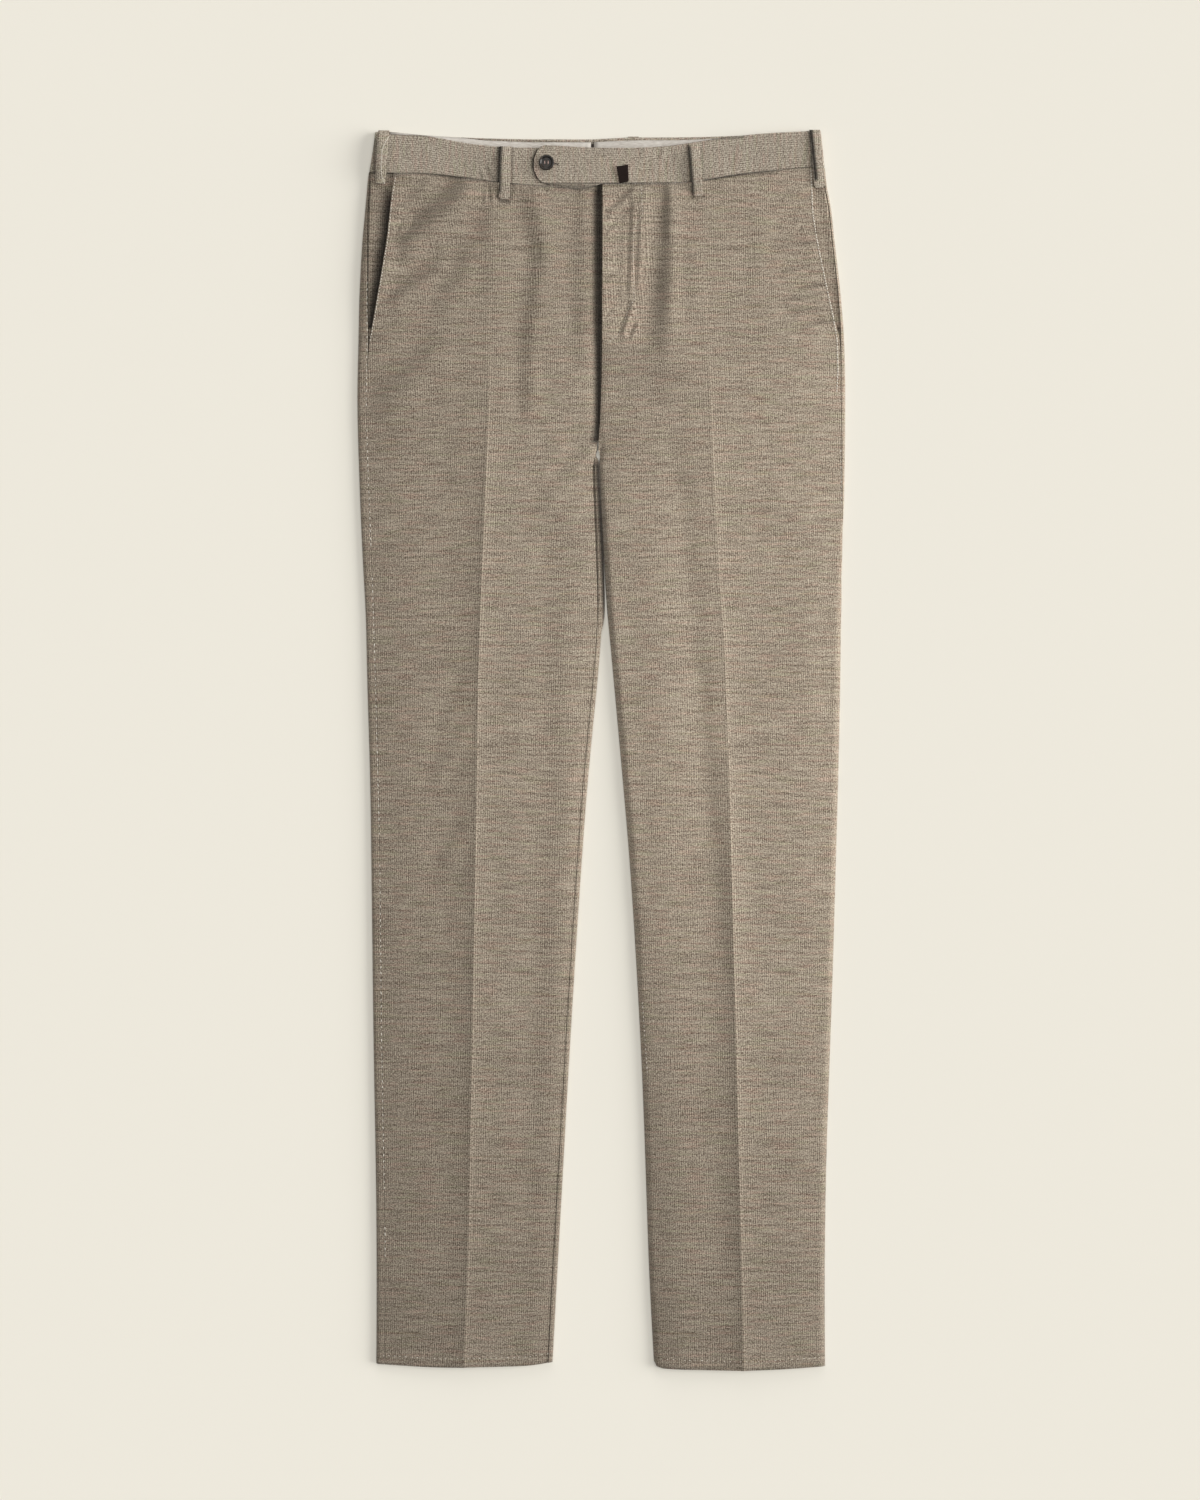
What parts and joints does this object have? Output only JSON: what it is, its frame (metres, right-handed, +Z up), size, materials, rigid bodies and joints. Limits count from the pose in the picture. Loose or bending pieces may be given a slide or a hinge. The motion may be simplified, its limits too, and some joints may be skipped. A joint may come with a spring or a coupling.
{
  "type": "corduroy trousers",
  "caption": "Straight-leg fine corduroy trousers with pressed creases, slant pockets and a buttoned tab waistband, laid out flat.",
  "frame": {"origin": "centre of the garment's outline, on the surface that it lies on", "axes": "+Z up out of the front of the garment, +Y along the legs toward the waist, +X toward the wearer's left"},
  "size_m": [0.4719, 1.2032, 0.0123],
  "materials": {
    "corduroy": "fine-wale corduroy, mottled beige, matt with a faint nap",
    "waistband_corduroy": "the same corduroy with its wales running along the band",
    "lining": "pale grey woven lining with a faint sheen",
    "dark_tape": "dark brown plain woven tape",
    "horn": "polished dark brown horn"
  },
  "bodies": {
    "root": {"front_panel_right": "corduroy", "front_panel_left": "corduroy", "back_panel_right": "corduroy", "back_panel_left": "corduroy", "pocket_facing_right": "corduroy", "pocket_facing_left": "corduroy", "waistband_right": "waistband_corduroy", "waistband_left": "waistband_corduroy", "waist_lining_right": "lining", "waist_lining_left": "lining", "belt_loop_front_right": "corduroy", "belt_loop_front_left": "corduroy", "belt_loop_side_right": "corduroy", "belt_loop_side_left": "corduroy", "belt_loop_back_right": "corduroy", "belt_loop_back_left": "corduroy", "prong_keeper": "dark_tape", "waist_button": "horn"}
  },
  "joints": []
}
